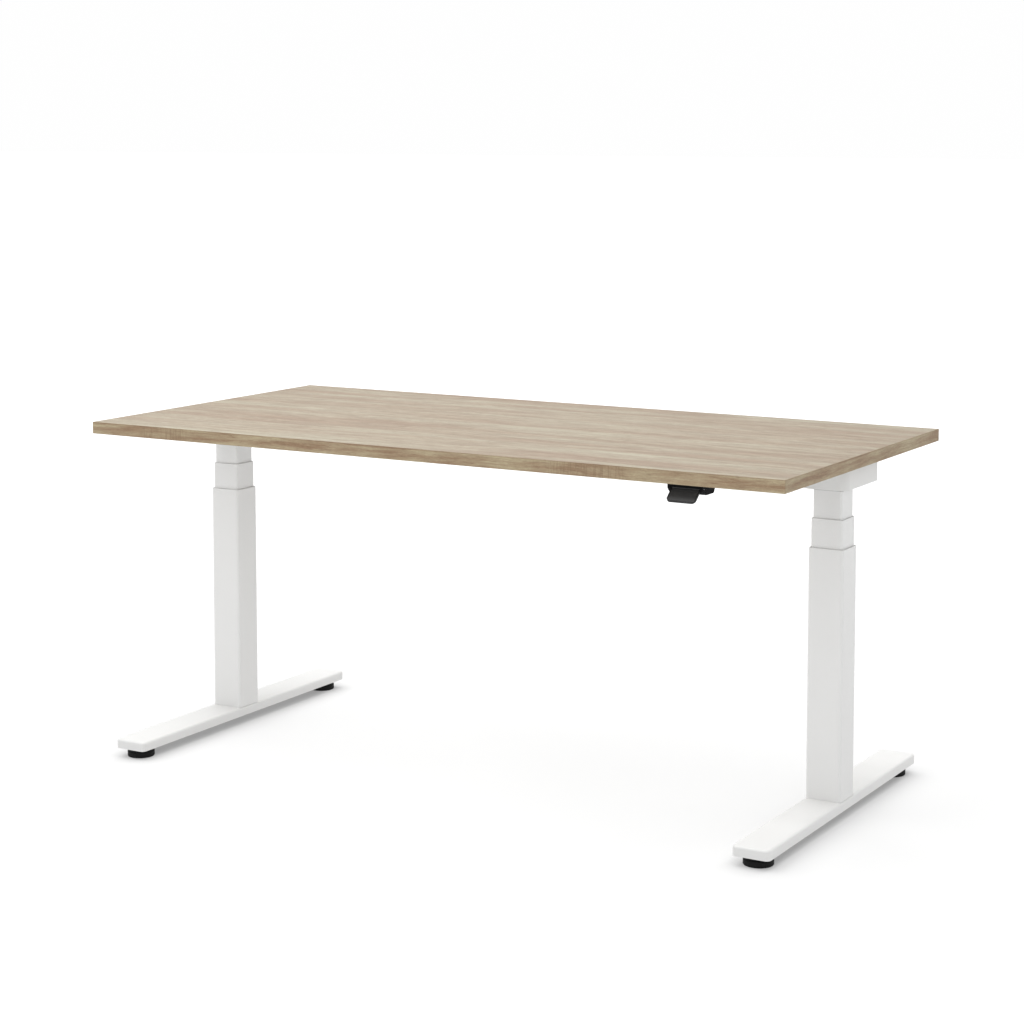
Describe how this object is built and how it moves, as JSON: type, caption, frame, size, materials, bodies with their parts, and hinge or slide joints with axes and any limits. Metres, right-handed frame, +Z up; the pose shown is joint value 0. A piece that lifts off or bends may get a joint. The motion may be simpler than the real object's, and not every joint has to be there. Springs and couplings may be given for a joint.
{
  "type": "height adjustable standing desk",
  "caption": "Sit-stand desk: a wood-decor board on motorised telescopic columns with flat T-feet, levelling glides and a paddle control.",
  "frame": {"origin": "on the floor, under the middle of the board", "axes": "+X along the board to the user's right, +Y away from the user, +Z up"},
  "size_m": [1.6, 0.8, 0.73],
  "materials": {
    "oak_decor": "matt wood-grain laminate",
    "oak_edge": "matt wood-grain edge band",
    "white_coat": "fine matt white powder coat",
    "white_housing": "satin white coat",
    "guide_plastic": "moulded sliding plastic",
    "bright_steel": "rolled and ground steel",
    "zinc_steel": "zinc plated",
    "nut_plastic": "natural engineering plastic",
    "motor_metal": "black coated can",
    "pad_plastic": "moulded black plastic",
    "box_plastic": "textured black plastic",
    "handset_plastic": "textured black plastic",
    "paddle_plastic": "fine textured dark grey plastic",
    "lead_sheath": "matt cable sheath",
    "clip_plastic": "moulded nylon"
  },
  "bodies": {
    "base": {"left_foot": "white_coat", "right_foot": "white_coat", "foot_plates": "white_coat", "foot_screws": "zinc_steel", "glide_inserts": "zinc_steel", "left_outer_tube": "white_coat", "right_outer_tube": "white_coat", "left_outer_guide": "guide_plastic", "right_outer_guide": "guide_plastic", "left_lower_screw": "bright_steel", "right_lower_screw": "bright_steel"},
    "top": {"tabletop": "oak_decor", "edge_band": "oak_edge", "left_inner_tube": "white_coat", "right_inner_tube": "white_coat", "left_inner_shoe": "guide_plastic", "right_inner_shoe": "guide_plastic", "left_motor_housing": "white_housing", "right_motor_housing": "white_housing", "left_motor": "motor_metal", "right_motor": "motor_metal", "left_bracket": "white_coat", "right_bracket": "white_coat", "front_rail": "white_coat", "rear_rail": "white_coat", "frame_screws": "zinc_steel", "board_screws": "zinc_steel", "control_box": "box_plastic", "control_lid": "box_plastic", "handset_body": "handset_plastic", "paddle_pin": "zinc_steel", "motor_leads": "lead_sheath", "handset_lead": "lead_sheath", "cable_clips": "clip_plastic"},
    "paddle": {"paddle": "paddle_plastic"},
    "left_middle": {"left_middle_tube": "white_coat", "left_middle_guide": "guide_plastic", "left_middle_shoe": "guide_plastic", "left_nut_tube": "bright_steel", "left_upper_nut": "nut_plastic"},
    "left_drive": {"left_drive_tube": "bright_steel"},
    "left_spindle": {"left_upper_spindle": "bright_steel"},
    "left_worm_shaft": {"left_worm": "bright_steel"},
    "right_middle": {"right_middle_tube": "white_coat", "right_middle_guide": "guide_plastic", "right_middle_shoe": "guide_plastic", "right_nut_tube": "bright_steel", "right_upper_nut": "nut_plastic"},
    "right_drive": {"right_drive_tube": "bright_steel"},
    "right_spindle": {"right_upper_spindle": "bright_steel"},
    "right_worm_shaft": {"right_worm": "bright_steel"},
    "left_front_glide": {"left_front_stud": "zinc_steel"},
    "left_front_foot_pad": {"left_front_pad": "pad_plastic"},
    "left_rear_glide": {"left_rear_stud": "zinc_steel"},
    "left_rear_foot_pad": {"left_rear_pad": "pad_plastic"},
    "right_front_glide": {"right_front_stud": "zinc_steel"},
    "right_front_foot_pad": {"right_front_pad": "pad_plastic"},
    "right_rear_glide": {"right_rear_stud": "zinc_steel"},
    "right_rear_foot_pad": {"right_rear_pad": "pad_plastic"}
  },
  "joints": [
    {"name": "left_lift", "type": "slide", "parent": "base", "child": "left_middle", "axis": [0, 0, 1], "range_m": [-0.052, 0.273]},
    {"name": "top_lift", "type": "slide", "parent": "left_middle", "child": "top", "axis": [0, 0, 1], "range_m": [-0.052, 0.273]},
    {"name": "right_lift", "type": "slide", "parent": "base", "child": "right_middle", "axis": [0, 0, 1], "range_m": [-0.052, 0.273]},
    {"name": "left_drive_turn", "type": "hinge", "parent": "left_middle", "child": "left_drive", "pos_m": [-0.729, 0, 0.098], "axis": [0, 0, 1], "range_deg": [-2400, 12400]},
    {"name": "left_spindle_turn", "type": "hinge", "parent": "top", "child": "left_spindle", "pos_m": [-0.729, 0, 0.655], "axis": [0, 0, 1], "range_deg": [-2400, 12400]},
    {"name": "left_worm_turn", "type": "hinge", "parent": "top", "child": "left_worm_shaft", "pos_m": [-0.704, 0, 0.677], "axis": [0, 1, 0], "range_deg": [-24000, 124000]},
    {"name": "left_front_level", "type": "slide", "parent": "base", "child": "left_front_glide", "axis": [0, 0, -1], "range_m": [-0.003, 0.008]},
    {"name": "left_front_pad_turn", "type": "hinge", "parent": "left_front_glide", "child": "left_front_foot_pad", "pos_m": [-0.729, -0.341, 0.004], "axis": [0, 0, 1], "continuous": true},
    {"name": "left_rear_level", "type": "slide", "parent": "base", "child": "left_rear_glide", "axis": [0, 0, -1], "range_m": [-0.003, 0.008]},
    {"name": "left_rear_pad_turn", "type": "hinge", "parent": "left_rear_glide", "child": "left_rear_foot_pad", "pos_m": [-0.729, 0.341, 0.004], "axis": [0, 0, 1], "continuous": true},
    {"name": "right_drive_turn", "type": "hinge", "parent": "right_middle", "child": "right_drive", "pos_m": [0.729, 0, 0.098], "axis": [0, 0, 1], "range_deg": [-2400, 12400]},
    {"name": "right_spindle_turn", "type": "hinge", "parent": "top", "child": "right_spindle", "pos_m": [0.729, 0, 0.655], "axis": [0, 0, 1], "range_deg": [-2400, 12400]},
    {"name": "right_worm_turn", "type": "hinge", "parent": "top", "child": "right_worm_shaft", "pos_m": [0.704, 0, 0.677], "axis": [0, 1, 0], "range_deg": [-24000, 124000]},
    {"name": "right_front_level", "type": "slide", "parent": "base", "child": "right_front_glide", "axis": [0, 0, -1], "range_m": [-0.003, 0.008]},
    {"name": "right_front_pad_turn", "type": "hinge", "parent": "right_front_glide", "child": "right_front_foot_pad", "pos_m": [0.729, -0.341, 0.004], "axis": [0, 0, 1], "continuous": true},
    {"name": "right_rear_level", "type": "slide", "parent": "base", "child": "right_rear_glide", "axis": [0, 0, -1], "range_m": [-0.003, 0.008]},
    {"name": "right_rear_pad_turn", "type": "hinge", "parent": "right_rear_glide", "child": "right_rear_foot_pad", "pos_m": [0.729, 0.341, 0.004], "axis": [0, 0, 1], "continuous": true},
    {"name": "paddle_tilt", "type": "hinge", "parent": "top", "child": "paddle", "pos_m": [0.59, -0.369, 0.6945], "axis": [1, 0, 0], "range_deg": [-6, 6], "stiffness_Nm_per_rad": 0.6}
  ],
  "couplings": [
    {"joint": "top_lift", "follows": "left_lift", "ratio": 1},
    {"joint": "right_lift", "follows": "left_lift", "ratio": 1},
    {"joint": "left_drive_turn", "follows": "left_lift", "rad_per_m": 785.4},
    {"joint": "left_spindle_turn", "follows": "left_lift", "rad_per_m": 785.4},
    {"joint": "left_worm_turn", "follows": "left_lift", "rad_per_m": 7854},
    {"joint": "right_drive_turn", "follows": "left_lift", "rad_per_m": 785.4},
    {"joint": "right_spindle_turn", "follows": "left_lift", "rad_per_m": 785.4},
    {"joint": "right_worm_turn", "follows": "left_lift", "rad_per_m": 7854}
  ]
}
